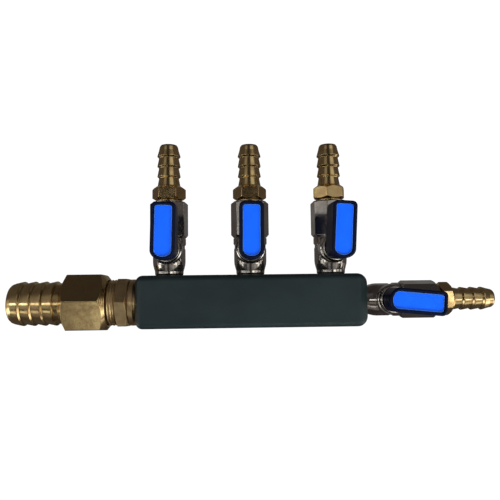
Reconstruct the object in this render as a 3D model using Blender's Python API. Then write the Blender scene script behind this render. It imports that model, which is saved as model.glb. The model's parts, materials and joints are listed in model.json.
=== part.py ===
"""Four-way hose manifold: a square bar drilled as a header, a large hose tail on a hex nipple at
its -X end, three quarter-turn ball valves along its top and a fourth on its +X end, each valve
with a screwed-in hose tail.

Frame: metres, +Z up, +X along the bar from inlet to end outlet, levers on the -Y side.
Origin: on the bar's underside, below the middle valve. All dimensions below are in millimetres.
"""

import math

import bmesh
import bpy
from mathutils import Matrix, Vector

MM = 0.001
PAST = 1.0  # how far a cutter runs past the face it opens

# ---- header bar -------------------------------------------------------------------------
BAR_FROM, BAR_TO = -55.2, 56.1
BAR_SIDE = 25.4  # one-inch square bar
BAR_EDGE_RADIUS = 2.9
BAR_END_RADII = (3.8, 5.4)  # the ends are rounded over more than the long edges
MAIN_AXIS_Z = BAR_SIDE / 2 - 0.35  # the header bore runs slightly below the bar's middle
VALVE_PITCH = 40.0
MAIN_BORE_R = 5.0
INLET_PORT_R = 11.0
INLET_PORT_DEPTH = 7.2
END_SEAT_X = BAR_TO - 0.7  # the end valve sits deeper in the bar than the others

# ---- quarter-turn valve, measured along its flow axis from the bar's face ------------------
THREAD_R = 6.85  # quarter-inch pipe thread, crest radius
THREAD_CLEARANCE = 0.3
THREADED_HOLE_R = THREAD_R + THREAD_CLEARANCE
PORT_DEPTH = 7.0
PORT_THROAT_R = 4.4  # the narrower hole below each valve's port
VALVE_THREAD_DEPTH = 6.4
FLOW_R = 3.5
BARREL_R = 8.0
NECK_R = 7.7
COLLAR_R = 8.25
STEM_AXIS = 12.6  # height of the ball's centre over the bar's face
BALL_R = 4.8
BALL_BORE_R = 3.0
BALL_SEAT_GAP = 0.2
CAVITY_R = 5.45
CAP_SPIGOT_FROM = 16.6
OCTAGON_AF = 17.4  # AF is the size across flats
OCTAGON_FROM, OCTAGON_TO = 18.3, 36.2
BODY_MOUTH = 18.1

# ---- valve stem and lever, measured outwards from the flow axis -----------------------------
BOSS_R = 6.4
BOSS_BASE_R = 7.2
BOSS_TOP = 12.6
STEM_R = 2.3
STEM_BORE_R = 2.45
STEM_FLANGE_R = 3.0
STEM_GROOVE_R = 1.55
LEVER_UNDERSIDE = 13.2
LEVER_TOP = 26.0
LEVER_HALF_WIDTH = 5.65
LEVER_REACH = 20.5
LEVER_DROP = 1.45  # how far past the stem axis its straight sides run
LEVER_END = 4.5
INSERT_HALF_WIDTH = 4.1
INSERT_REACH = 19.15
INSERT_GAP = 0.15
RECESS_FLOOR = 23.2
INSERT_FACE = 24.8
STEM_SQUARE_HALF = 1.6
LEVER_SQUARE_HALF = 1.75

# ---- lever stop, in degrees from +X towards +Z about the stem axis ----------------------------
LUG_DIRECTION = 225
LUG_HALF_ANGLE = 20.0
NOTCH_DIRECTION = 270
NOTCH_SLACK = 2.5

# ---- valve hose tail, for 3/8 inch hose ------------------------------------------------------
TAIL_HEX_AF = 14.5
TAIL_HEX_FROM, TAIL_HEX_TO = 37.2, 43.8
TAIL_FROM, TAIL_END = 27.4, 64.6
TAIL_BORE_R = 3.3
TAIL_ROOT_R, TAIL_CREST_R = 4.95, 5.65
TAIL_BARB_PITCH = 5.05

# ---- inlet: 3/4 inch hose tail on a half-inch hex nipple, measured outwards from the bar -------
NIPPLE_FROM, NIPPLE_TO = -6.8, 25.0
NIPPLE_HEX_AF = 22.8
NIPPLE_HEX_FROM, NIPPLE_HEX_TO = 3.9, 9.5
NIPPLE_COLLAR_R = 11.3
NIPPLE_THREAD_R = 10.7  # half-inch pipe thread, crest radius
NIPPLE_RUNOUT_R = 11.2  # the tapered thread is larger where it runs out beside the hex
NIPPLE_RUNOUT_PITCH = 1.4
NIPPLE_RUNOUT_TURNS = 3
NIPPLE_BORE_R = 7.0
INLET_HEX_AF = 26.65
INLET_HEX_FROM, INLET_HEX_TO = 14.1, 35.7
INLET_END = 61.0
INLET_SOCKET_R = NIPPLE_THREAD_R + 0.25
INLET_BORE_R = 8.0
INLET_ROOT_R, INLET_CREST_R = 9.95, 10.75
INLET_FIRST_BARB = 39.3
INLET_BARB_PITCH = 5.3

BARB_HALF_LAND = 0.2  # half the length of the flat on a barb's crest

SEG_TINY, SEG_SMALL, SEG_MID, SEG_BIG = 8, 12, 16, 24
CORNER_STEPS = 3  # steps round a corner of the bar's section or of a lever outline
BAR_END_STEPS = 4
LEVER_END_STEPS, POCKET_END_STEPS = 10, 8
SHARP_EDGE_DEG = 35

for old in list(bpy.data.objects):
    bpy.data.objects.remove(old, do_unlink=True)


# ====================================== building solids =======================================
def new_object(name, builder):
    bmesh.ops.remove_doubles(builder, verts=builder.verts, dist=1e-7)
    bmesh.ops.recalc_face_normals(builder, faces=builder.faces)
    mesh = bpy.data.meshes.new(name)
    builder.to_mesh(mesh)
    builder.free()
    obj = bpy.data.objects.new(name, mesh)
    bpy.context.scene.collection.objects.link(obj)
    return obj


def lathe(name, profile, segments, axis="Z"):
    """A closed outline of (radius, height) rows turned once round its axis: Z, X or -Y."""
    builder = bmesh.new()
    rings = []
    for radius, height in profile:
        if radius < 1e-6:
            rings.append([builder.verts.new((0, 0, height * MM))])
            continue
        ring = []
        for i in range(segments):
            angle = 2 * math.pi * i / segments
            x, y = radius * math.cos(angle), radius * math.sin(angle)
            ring.append(builder.verts.new((x * MM, y * MM, height * MM)))
        rings.append(ring)
    for lower, upper in zip(rings, rings[1:] + rings[:1]):
        if len(lower) == 1 and len(upper) == 1:
            continue
        for i in range(segments):
            j = (i + 1) % segments
            if len(lower) == 1:
                builder.faces.new((lower[0], upper[j], upper[i]))
            elif len(upper) == 1:
                builder.faces.new((lower[i], lower[j], upper[0]))
            else:
                builder.faces.new((lower[i], lower[j], upper[j], upper[i]))
    if axis != "Z":
        turn_about = {"-Y": "X", "X": "Y"}[axis]
        turn = Matrix.Rotation(math.pi / 2, 4, turn_about)
        bmesh.ops.transform(builder, matrix=turn, verts=builder.verts)
    return new_object(name, builder)


def extrude(name, outline, low, high, axis="Z"):
    """A flat outline made solid between two heights. Axis -Y reads it as (x, z)."""

    def ring(height):
        if axis == "Z":
            points = [(u * MM, v * MM, height * MM) for u, v in outline]
        else:
            points = [(u * MM, -height * MM, v * MM) for u, v in outline]
        return [builder.verts.new(point) for point in points]

    builder = bmesh.new()
    bottom, top = ring(low), ring(high)
    builder.faces.new(bottom)
    builder.faces.new(top)
    for i in range(len(outline)):
        j = (i + 1) % len(outline)
        builder.faces.new((bottom[i], bottom[j], top[j], top[i]))
    return new_object(name, builder)


def shift(obj, x=0.0, z=0.0):
    """Moves the mesh and leaves the object's origin where it is."""
    for vertex in obj.data.vertices:
        vertex.co.x += x * MM
        vertex.co.z += z * MM
    return obj


def to_stem_axis(obj):
    return shift(obj, z=STEM_AXIS)


def boolean(target, tool, operation):
    """Applies the tool to the target's mesh and removes the tool."""
    modifier = target.modifiers.new(operation.title(), "BOOLEAN")
    modifier.operation = operation
    modifier.object = tool
    bpy.context.view_layer.update()
    graph = bpy.context.evaluated_depsgraph_get()
    mesh = bpy.data.meshes.new_from_object(target.evaluated_get(graph))
    target.modifiers.clear()
    old_mesh = target.data
    target.data = mesh
    bpy.data.meshes.remove(old_mesh)
    bpy.data.objects.remove(tool, do_unlink=True)
    return target


def join(target, tool):
    return boolean(target, tool, "UNION")


def cut(target, tool):
    return boolean(target, tool, "DIFFERENCE")


# ========================================== outlines ==========================================
def rod(radius, low, high):
    """Lathe profile of a plain cylinder."""
    return [(0, low), (radius, low), (radius, high), (0, high)]


def rectangle(x_from, z_from, x_to, z_to):
    return [(x_from, z_from), (x_to, z_from), (x_to, z_to), (x_from, z_to)]


def centred_rectangle(half_width, half_height):
    return rectangle(-half_width, -half_height, half_width, half_height)


def polygon(sides, across_flats, first_vertex_deg):
    radius = across_flats / 2 / math.cos(math.pi / sides)
    first = math.radians(first_vertex_deg)
    angles = [first + 2 * math.pi * i / sides for i in range(sides)]
    return [(radius * math.cos(angle), radius * math.sin(angle)) for angle in angles]


def ring_sector(inner, outer, direction, half_angle, steps):
    """Part of a flat ring about the stem axis, in (x, z); angles in degrees."""
    angles = [direction - half_angle + 2 * half_angle * i / steps for i in range(steps + 1)]
    return [
        (radius * math.cos(math.radians(deg)), STEM_AXIS + radius * math.sin(math.radians(deg)))
        for radius, arc in ((inner, angles[::-1]), (outer, angles))
        for deg in arc
    ]


def lever_outline(half_width, end_depth, reach, corner, steps=LEVER_END_STEPS):
    """In (x, z): an oval end just past the stem axis and a square end with small corners."""
    points = []
    for i in range(steps + 1):
        angle = math.pi + math.pi * i / steps
        z = STEM_AXIS - LEVER_DROP + end_depth * math.sin(angle)
        points.append((half_width * math.cos(angle), z))
    corner_z = STEM_AXIS + reach - corner
    for corner_x, start in ((half_width - corner, 0.0), (corner - half_width, math.pi / 2)):
        for i in range(CORNER_STEPS + 1):
            angle = start + math.pi / 2 * i / CORNER_STEPS
            x = corner_x + corner * math.cos(angle)
            points.append((x, corner_z + corner * math.sin(angle)))
    return points


def barbs(first_crest, pitch, count, root, crest, back):
    """Profile of a hose tail from its hex to its tip: each barb's short back faces the hex."""
    points = []
    for i in range(count):
        top = first_crest + i * pitch
        points += [(root, top - back), (crest, top - BARB_HALF_LAND), (crest, top + BARB_HALF_LAND)]
    return points


def chamfered_prism(
    name, sides, across_flats, first_vertex_deg, low, high, end_low, end_high, segments
):
    """A polygonal prism with turned ends: each end is (radius at the face, chamfer length)."""
    corner = across_flats / 2 / math.cos(math.pi / sides) + 0.2
    over = 0.5  # the turned shape follows both chamfers this far past the prism's faces
    (low_r, low_length), (high_r, high_length) = end_low, end_high
    low_tip = low_r - over * (corner - low_r) / low_length
    high_tip = high_r - over * (corner - high_r) / high_length
    profile = [
        (0, low - over),
        (low_tip, low - over),
        (corner, low + low_length),
        (corner, high - high_length),
        (high_tip, high + over),
        (0, high + over),
    ]
    prism = extrude(name, polygon(sides, across_flats, first_vertex_deg), low, high)
    return boolean(prism, lathe(name + "_turned", profile, segments), "INTERSECT")


# ========================================= materials ==========================================
def material(name, colour, roughness, metallic):
    made = bpy.data.materials.new(name)
    made.use_nodes = True
    shader = made.node_tree.nodes["Principled BSDF"]
    shader.inputs["Base Color"].default_value = (*colour, 1.0)
    shader.inputs["Roughness"].default_value = roughness
    shader.inputs["Metallic"].default_value = metallic
    made.diffuse_color = (*colour, 1.0)
    return made


def metal(name, colour, roughness):
    return material(name, colour, roughness, metallic=1.0)


def plastic(name, colour, roughness):
    return material(name, colour, roughness, metallic=0.0)


BLACK_BAR = material("black_anodised", (0.018, 0.027, 0.030), roughness=0.38, metallic=0.6)
BRASS = metal("brass", (0.46, 0.34, 0.14), roughness=0.28)
NICKEL = metal("nickel_plate", (0.52, 0.50, 0.46), roughness=0.16)
CHROME = metal("chrome_ball", (0.72, 0.72, 0.73), roughness=0.06)
PTFE = plastic("ptfe", (0.86, 0.86, 0.84), roughness=0.5)
RUBBER = plastic("seal_rubber", (0.012, 0.012, 0.012), roughness=0.7)
BLACK_PLASTIC = plastic("lever_plastic", (0.008, 0.009, 0.012), roughness=0.42)
BLUE_PLASTIC = plastic("insert_plastic", (0.012, 0.105, 0.93), roughness=0.35)
STEEL = metal("screw_steel", (0.55, 0.55, 0.56), roughness=0.3)


def finish(obj, look):
    obj.data.materials.clear()
    obj.data.materials.append(look)
    obj.data.shade_smooth()
    obj.data.set_sharp_from_angle(angle=math.radians(SHARP_EDGE_DEG))
    return obj


# ========================================= header bar =========================================
def bar_section(inset):
    """The bar's square section with rounded corners, in (y, z) about its middle."""
    half = BAR_SIDE / 2 - inset
    corner = max(BAR_EDGE_RADIUS - 0.45 * inset, 0.9)  # corners tighten as the section shrinks
    points = []
    for k, (side_y, side_z) in enumerate(((1, 1), (-1, 1), (-1, -1), (1, -1))):
        for i in range(CORNER_STEPS + 1):
            angle = math.pi / 2 * (k + i / CORNER_STEPS)
            y = side_y * (half - corner) + corner * math.cos(angle)
            z = side_z * (half - corner) + corner * math.sin(angle)
            points.append((y, z))
    return points


def make_bar_blank():
    builder = bmesh.new()
    rows = []  # (x, inset of the section), from the inlet end to the outlet end
    for end, inward, radius in ((BAR_FROM, 1, BAR_END_RADII[0]), (BAR_TO, -1, BAR_END_RADII[1])):
        angles = [math.pi / 2 * i / BAR_END_STEPS for i in range(BAR_END_STEPS + 1)]
        for angle in angles[::inward]:
            x = end + inward * radius * (1 - math.cos(angle))
            rows.append((x, radius * (1 - math.sin(angle))))
    rings = [
        [builder.verts.new((x * MM, y * MM, (z + BAR_SIDE / 2) * MM)) for y, z in bar_section(inset)]
        for x, inset in rows
    ]
    for ring, following in zip(rings, rings[1:]):
        for i in range(len(ring)):
            j = (i + 1) % len(ring)
            builder.faces.new((ring[i], ring[j], following[j], following[i]))
    builder.faces.new(rings[0])
    builder.faces.new(rings[-1])
    return new_object("manifold_block", builder)


def valve_port(seat, top):
    """Profile of the throat and wider port below a valve seated at this height."""
    floor = seat - PORT_DEPTH
    return [
        (PORT_THROAT_R, floor),
        (THREADED_HOLE_R, floor),
        (THREADED_HOLE_R, top),
        (0, top),
    ]


def make_bar():
    bar = make_bar_blank()
    main_profile = [
        (0, BAR_FROM - PAST),
        (INLET_PORT_R, BAR_FROM - PAST),
        (INLET_PORT_R, BAR_FROM + INLET_PORT_DEPTH),
        (MAIN_BORE_R, BAR_FROM + INLET_PORT_DEPTH + 2),
        (MAIN_BORE_R, END_SEAT_X - 8.4),
    ] + valve_port(END_SEAT_X, BAR_TO + PAST)
    cut(bar, shift(lathe("main_bore", main_profile, SEG_BIG, axis="X"), z=MAIN_AXIS_Z))
    branch_from = BAR_SIDE / 2 + 0.4
    branch_profile = [(0, branch_from), (PORT_THROAT_R, branch_from)]
    branch_profile += valve_port(BAR_SIDE, BAR_SIDE + PAST)
    for k in (-1, 0, 1):
        cut(bar, shift(lathe("branch_port", branch_profile, SEG_MID), x=k * VALVE_PITCH))
    return finish(bar, BLACK_BAR)


# ======================================== valve pieces ========================================
def make_boss():
    """The round boss on the body's -Y side, cut back so that it clears the end cap."""
    profile = [
        (0, 1.0),
        (BOSS_BASE_R, 1.0),
        (BOSS_BASE_R, 8.1),
        (BOSS_R, 8.8),
        (BOSS_R, BOSS_TOP - 0.3),
        (BOSS_R - 0.3, BOSS_TOP),
        (0, BOSS_TOP),
    ]
    boss = to_stem_axis(lathe("stem_boss", profile, SEG_MID, axis="-Y"))
    above_mouth = rectangle(-12, BODY_MOUTH - 0.15, 12, 24)
    return cut(boss, extrude("above_mouth", above_mouth, -2, 14, axis="-Y"))


def make_body():
    barrel = [
        (0, -VALVE_THREAD_DEPTH),
        (THREAD_R - 0.5, -VALVE_THREAD_DEPTH),
        (THREAD_R, -VALVE_THREAD_DEPTH + 0.8),
        (THREAD_R, 0.4),
        (THREAD_R + 0.15, 0.6),
        (THREAD_R + 0.15, 2.0),
        (7.4, 3.0),
        (BARREL_R - 0.1, 5.4),
        (BARREL_R, 6.4),
        (BARREL_R, 12.5),
        (NECK_R, 13.2),
        (NECK_R, 14.4),
        (COLLAR_R, 15.1),
        (COLLAR_R, BODY_MOUTH),
        (0, BODY_MOUTH),
    ]
    body = lathe("valve_body", barrel, SEG_MID)
    join(body, make_boss())
    lug = ring_sector(3.9, 5.7, LUG_DIRECTION, LUG_HALF_ANGLE, steps=2)
    join(body, extrude("stop_lug", lug, BOSS_TOP - 0.8, LEVER_UNDERSIDE + 1.0, axis="-Y"))
    mouth_r = THREAD_R + THREAD_CLEARANCE * 0.5
    cavity = [
        (0, -VALVE_THREAD_DEPTH - PAST),
        (FLOW_R, -VALVE_THREAD_DEPTH - PAST),
        (FLOW_R, 7.0),
        (CAVITY_R, 7.0),
        (CAVITY_R, 16.4),
        (mouth_r, 16.4),
        (mouth_r, BODY_MOUTH + PAST),
        (0, BODY_MOUTH + PAST),
    ]
    cut(body, lathe("flow_cavity", cavity, SEG_MID))
    flange_bore_r = STEM_FLANGE_R + 0.25
    stem_bore = [
        (0, 3.0),
        (flange_bore_r, 3.0),
        (flange_bore_r, 6.75),
        (STEM_BORE_R, 6.75),
        (STEM_BORE_R, BOSS_TOP + 2),
        (0, BOSS_TOP + 2),
    ]
    cut(body, to_stem_axis(lathe("stem_bore", stem_bore, SEG_SMALL, axis="-Y")))
    return finish(body, NICKEL)


def make_end_cap():
    cap = chamfered_prism(
        "valve_end_cap",
        sides=8,
        across_flats=OCTAGON_AF,
        first_vertex_deg=0,
        low=OCTAGON_FROM,
        high=OCTAGON_TO,
        end_low=(8.2, 1.6),
        end_high=(7.7, 1.2),
        segments=SEG_MID,
    )
    spigot = [
        (0, CAP_SPIGOT_FROM),
        (THREAD_R - 0.5, CAP_SPIGOT_FROM),
        (THREAD_R - 0.1, CAP_SPIGOT_FROM + 0.4),
        (THREAD_R - 0.1, OCTAGON_FROM + 1),
        (0, OCTAGON_FROM + 1),
    ]
    join(cap, lathe("spigot", spigot, SEG_MID))
    passage = [
        (0, 14.0),
        (CAVITY_R, 14.0),
        (CAVITY_R, 18.2),
        (FLOW_R, 18.2),
        (FLOW_R, 25.0),
        (5.9, 25.6),
        (5.9, 26.2),
        (THREADED_HOLE_R, 26.4),
        (THREADED_HOLE_R, OCTAGON_TO - 0.5),
        (THREADED_HOLE_R + 1.0, OCTAGON_TO + 0.5),
        (0, OCTAGON_TO + 0.5),
    ]
    cut(cap, lathe("cap_passage", passage, SEG_MID))
    return finish(cap, NICKEL)


def make_ball():
    """The ball, bored along the flow axis and slotted on its -Y side for the stem's tang."""
    steps = 10
    angles = [math.pi * i / steps for i in range(steps + 1)]
    profile = [(BALL_R * math.sin(angle), -BALL_R * math.cos(angle)) for angle in angles]
    ball = lathe("valve_ball", profile, SEG_SMALL, axis="-Y")
    cut(ball, lathe("ball_bore", rod(BALL_BORE_R, -6, 6), SEG_SMALL))
    cut(ball, extrude("drive_slot", centred_rectangle(4, 1.25), 3.5, 6.0, axis="-Y"))
    return finish(to_stem_axis(ball), CHROME)


def make_seat(name, side):
    """A ring whose inner corner follows the ball. Side -1 is nearer the bar."""
    inner, outer = 3.3, 5.25
    near, far = 2.5, 5.4  # distances from the ball's centre along the flow axis
    clear_r = BALL_R + BALL_SEAT_GAP
    profile = [
        (inner, far),
        (outer, far),
        (outer, near),
        (math.sqrt(clear_r**2 - near**2) + 0.05, near),
        (inner, math.sqrt(clear_r**2 - inner**2) + 0.05),
    ]
    placed = [(radius, STEM_AXIS + side * height) for radius, height in profile]
    return finish(lathe(name, placed, SEG_SMALL), PTFE)


def make_stem():
    stem_top = LEVER_UNDERSIDE - 0.1
    profile = [
        (0, 5.42),
        (STEM_FLANGE_R, 5.42),
        (STEM_FLANGE_R, 6.03),
        (STEM_R, 6.03),
        (STEM_R, 8.8),
        (STEM_GROOVE_R, 8.8),
        (STEM_GROOVE_R, 10.2),
        (STEM_R, 10.2),
        (STEM_R, stem_top),
        (0, stem_top),
    ]
    stem = lathe("valve_stem", profile, SEG_SMALL, axis="-Y")
    join(stem, extrude("tang", centred_rectangle(2.4, 0.95), 3.8, 5.8, axis="-Y"))
    square = centred_rectangle(STEM_SQUARE_HALF, STEM_SQUARE_HALF)
    join(stem, extrude("drive_square", square, 12.0, 15.7, axis="-Y"))
    cut(stem, lathe("screw_hole", rod(1.15, 11.2, 17), SEG_TINY, axis="-Y"))
    return finish(to_stem_axis(stem), BRASS)


def make_stem_seal():
    """The O-ring in the stem's groove."""
    ring_r, section_r, height = 1.95, 0.34, 9.5
    steps = 6
    angles = [2 * math.pi * i / steps for i in range(steps)]
    profile = [
        (ring_r + section_r * math.cos(angle), height + section_r * math.sin(angle))
        for angle in angles
    ]
    ring = lathe("stem_o_ring", profile, SEG_SMALL, axis="-Y")
    return finish(to_stem_axis(ring), RUBBER)


def make_thrust_washer():
    profile = [(2.42, 6.12), (3.1, 6.12), (3.1, 6.62), (2.42, 6.62)]
    ring = lathe("stem_thrust_washer", profile, SEG_SMALL, axis="-Y")
    return finish(to_stem_axis(ring), PTFE)


def make_lever():
    outline = lever_outline(LEVER_HALF_WIDTH, LEVER_END, LEVER_REACH, corner=2.3)
    lever = extrude("lever_handle", outline, LEVER_UNDERSIDE, LEVER_TOP, axis="-Y")
    recess = lever_outline(
        INSERT_HALF_WIDTH + INSERT_GAP, LEVER_END - 1.3, INSERT_REACH + INSERT_GAP, corner=1.4
    )
    cut(lever, extrude("insert_recess", recess, RECESS_FLOOR, LEVER_TOP + PAST, axis="-Y"))
    pocket = lever_outline(3.3, 2.5, reach=18.0, corner=1.0, steps=POCKET_END_STEPS)
    cut(lever, extrude("lever_pocket", pocket, 15.9, 25.0, axis="-Y"))
    half = LEVER_SQUARE_HALF
    square = rectangle(-half, STEM_AXIS - half, half, STEM_AXIS + half)
    cut(lever, extrude("square_hole", square, LEVER_UNDERSIDE - PAST, 17.0, axis="-Y"))
    # the notch lets the lever swing a quarter turn over the lug, which is 45 degrees off its middle
    half_angle = NOTCH_DIRECTION - LUG_DIRECTION + LUG_HALF_ANGLE + NOTCH_SLACK
    notch = ring_sector(3.6, 8.0, NOTCH_DIRECTION, half_angle, steps=6)
    notch_top = LEVER_UNDERSIDE + 1.35
    cut(lever, extrude("stop_notch", notch, LEVER_UNDERSIDE - PAST, notch_top, axis="-Y"))
    return finish(lever, BLACK_PLASTIC)


def make_insert():
    """The coloured plate in the lever's face, with four clips behind it."""
    outline = lever_outline(INSERT_HALF_WIDTH, LEVER_END - 1.45, INSERT_REACH, corner=1.3)
    insert = extrude("lever_insert", outline, RECESS_FLOOR + 0.2, INSERT_FACE, axis="-Y")
    clip_inner, clip_outer, clip_half_length = 2.1, 2.9, 1.6
    for height in (6.0, 15.0):
        for side in (-1, 1):
            middle = STEM_AXIS + height
            clip = rectangle(
                side * clip_inner,
                middle - clip_half_length,
                side * clip_outer,
                middle + clip_half_length,
            )
            join(insert, extrude("clip", clip, 20.5, RECESS_FLOOR + 0.9, axis="-Y"))
    return finish(insert, BLUE_PLASTIC)


def make_screw():
    """The lever's screw, with a cross recess in its head."""
    shank_r, head_r = 0.95, 2.6
    profile = [
        (0, 11.6),
        (shank_r, 11.6),
        (shank_r, 16.1),
        (head_r, 16.1),
        (head_r, 17.1),
        (2.1, 17.7),
        (0, 17.7),
    ]
    screw = lathe("lever_screw", profile, SEG_TINY, axis="-Y")
    for half_x, half_z in ((1.5, 0.35), (0.35, 1.5)):
        cut(screw, extrude("cross", centred_rectangle(half_x, half_z), 16.8, 19, axis="-Y"))
    return finish(to_stem_axis(screw), STEEL)


def make_tail():
    tail = chamfered_prism(
        "valve_hose_tail",
        sides=6,
        across_flats=TAIL_HEX_AF,
        first_vertex_deg=0,
        low=TAIL_HEX_FROM,
        high=TAIL_HEX_TO,
        end_low=(7.3, 0.5),
        end_high=(6.2, 1.7),
        segments=SEG_BIG,
    )
    shank = [(0, TAIL_FROM), (THREAD_R - 0.7, TAIL_FROM), (THREAD_R, TAIL_FROM + 0.8)]
    shank += [(THREAD_R, 38.0), (TAIL_CREST_R, 38.0), (TAIL_CREST_R, TAIL_HEX_TO + 0.2)]
    first_barb = TAIL_HEX_TO + TAIL_BARB_PITCH
    shank += barbs(first_barb, TAIL_BARB_PITCH, 3, TAIL_ROOT_R, TAIL_CREST_R, back=1.3)
    shank += [(TAIL_ROOT_R, TAIL_END - 3.0), (4.6, TAIL_END - 0.7), (4.1, TAIL_END), (0, TAIL_END)]
    join(tail, lathe("shank", shank, SEG_SMALL))
    cut(tail, lathe("tail_bore", rod(TAIL_BORE_R, 26, 66), SEG_SMALL))
    return finish(tail, BRASS)


# ======================================== inlet pieces ========================================
def make_nipple():
    nipple = chamfered_prism(
        "inlet_hex_nipple",
        sides=6,
        across_flats=NIPPLE_HEX_AF,
        first_vertex_deg=-87.5,
        low=NIPPLE_HEX_FROM,
        high=NIPPLE_HEX_TO,
        end_low=(11.1, 0.9),
        end_high=(11.1, 0.9),
        segments=SEG_BIG,
    )
    crest = NIPPLE_THREAD_R
    shank = [
        (0, NIPPLE_FROM),
        (crest - 0.8, NIPPLE_FROM),
        (crest, NIPPLE_FROM + 1.0),
        (crest, 0.3),
        (crest - 0.5, 0.5),
        (crest - 0.5, 0.8),
        (NIPPLE_COLLAR_R, 1.2),
        (NIPPLE_COLLAR_R, NIPPLE_HEX_FROM + 1.0),
        (crest - 0.7, NIPPLE_HEX_FROM + 1.0),
        (crest - 0.4, NIPPLE_HEX_TO + 0.2),
    ]
    for i in range(NIPPLE_RUNOUT_TURNS):
        start = NIPPLE_HEX_TO + i * NIPPLE_RUNOUT_PITCH
        shank += [(NIPPLE_RUNOUT_R, start + 0.8), (NIPPLE_RUNOUT_R, start + 1.1)]
        shank.append((crest - 0.4, start + 1.6))
    runout_end = NIPPLE_HEX_TO + NIPPLE_RUNOUT_TURNS * NIPPLE_RUNOUT_PITCH
    shank += [(crest - 0.1, runout_end + 0.9), (crest - 0.1, NIPPLE_TO - 1.0)]
    shank += [(crest - 0.9, NIPPLE_TO), (0, NIPPLE_TO)]
    join(nipple, lathe("nipple_shank", shank, SEG_BIG))
    cut(nipple, lathe("nipple_bore", rod(NIPPLE_BORE_R, -8, NIPPLE_TO + PAST), SEG_BIG))
    return finish(nipple, BRASS)


def make_inlet_tail():
    tail = chamfered_prism(
        "inlet_hose_tail",
        sides=6,
        across_flats=INLET_HEX_AF,
        first_vertex_deg=-85,
        low=INLET_HEX_FROM,
        high=INLET_HEX_TO,
        end_low=(11.9, 2.9),
        end_high=(10.9, 2.9),
        segments=SEG_BIG,
    )
    shank = [(0, 34.0), (INLET_ROOT_R, 34.0)]
    shank += barbs(INLET_FIRST_BARB, INLET_BARB_PITCH, 4, INLET_ROOT_R, INLET_CREST_R, back=1.5)
    shank += [(10.1, INLET_END - 2.2), (9.75, INLET_END - 0.8), (9.2, INLET_END), (0, INLET_END)]
    join(tail, lathe("inlet_shank", shank, SEG_BIG))
    bore = [
        (0, 12.0),
        (11.5, 12.0),
        (11.5, 13.8),
        (INLET_SOCKET_R, 14.8),
        (INLET_SOCKET_R, 28.5),
        (INLET_BORE_R, 29.5),
        (INLET_BORE_R, INLET_END + PAST),
        (0, INLET_END + PAST),
    ]
    cut(tail, lathe("inlet_bore", bore, SEG_BIG))
    return finish(tail, BRASS)


# ========================================== assembly ==========================================
def add(name, data=None, parent=None, location=(0, 0, 0), turn_y=0.0, turn_z=0.0):
    """Adds an object, or an empty when it has no data; location in mm, turns in degrees."""
    obj = bpy.data.objects.new(name, data)
    bpy.context.scene.collection.objects.link(obj)
    obj.parent = parent
    obj.location = Vector(location) * MM
    obj.rotation_euler = (0, math.radians(turn_y), math.radians(turn_z))
    return obj


# where each valve screws in, which way its flow axis points (degrees from +Z towards +X), and how
# far its threads left it turned: clock turns the whole valve about the flow axis, cap and tail turn
# those pieces further; lift is how far the tail stands out, lean the lever's angle past fully open
SEATS = {
    1: dict(where=(-VALVE_PITCH, 0, BAR_SIDE), turn=0, clock=-0.3, lean=1.5, cap=12, tail=0, lift=0.15),
    2: dict(where=(0, 0, BAR_SIDE), turn=0, clock=0.2, lean=0.5, cap=0, tail=0, lift=0),
    3: dict(where=(VALVE_PITCH, 0, BAR_SIDE), turn=-0.4, clock=4.5, lean=3.65, cap=-19, tail=10, lift=0),
    4: dict(where=(END_SEAT_X, 0, MAIN_AXIS_Z), turn=90, clock=-1, lean=5.5, cap=-7, tail=2.5, lift=0.3),
}


def add_valve(number, seat, fixed, turning):
    prefix = f"valve_{number}_"
    port = add(prefix + "port", location=seat["where"], turn_y=seat["turn"])
    valve = add(prefix + "axis", parent=port, turn_z=seat["clock"])
    stem_axis = add(
        prefix + "stem_axis", parent=valve, location=(0, 0, STEM_AXIS), turn_y=seat["lean"]
    )
    turns = {"end_cap": seat["cap"], "hose_tail": seat["tail"]}
    lifts = {"hose_tail": seat["lift"]}
    for part, template in fixed.items():
        spot = (0, 0, lifts.get(part, 0.0))
        add(prefix + part, template.data, valve, spot, turn_z=turns.get(part, 0.0))
    for part, template in turning.items():
        add(prefix + part, template.data, stem_axis, (0, 0, -STEM_AXIS))


make_bar()

inlet = add("inlet_axis", location=(BAR_FROM, 0, MAIN_AXIS_Z), turn_y=-90)
for piece in (make_nipple(), make_inlet_tail()):
    piece.parent = inlet

# templates whose meshes all four valves share
FIXED = {
    "body": make_body(),
    "end_cap": make_end_cap(),
    "seat_inner": make_seat("seat_inner", -1),
    "seat_outer": make_seat("seat_outer", 1),
    "hose_tail": make_tail(),
}
TURNING = {
    "ball": make_ball(),
    "stem": make_stem(),
    "stem_o_ring": make_stem_seal(),
    "stem_washer": make_thrust_washer(),
    "lever": make_lever(),
    "lever_insert": make_insert(),
    "lever_screw": make_screw(),
}
for number, seat in SEATS.items():
    add_valve(number, seat, FIXED, TURNING)
for template in [*FIXED.values(), *TURNING.values()]:
    bpy.data.objects.remove(template, do_unlink=True)
bpy.context.view_layer.update()
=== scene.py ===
"""Looks of the four-way hose manifold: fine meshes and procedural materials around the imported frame.

The bar lies along X, with the inlet on its low end, valves 1 to 3 on its top and valve 4 on its high
end. Its front faces -Y, and the levers stand out to the front. Every fitting is modelled in its own
axis system in millimetres (Z along the flow axis from the bar's face, Y along the stem axis of its
valve, with the lever towards -Y) and is placed by the frame's joints and boxes.
"""

import json
import math

import bmesh
import bpy
from mathutils import Matrix, Vector


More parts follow.
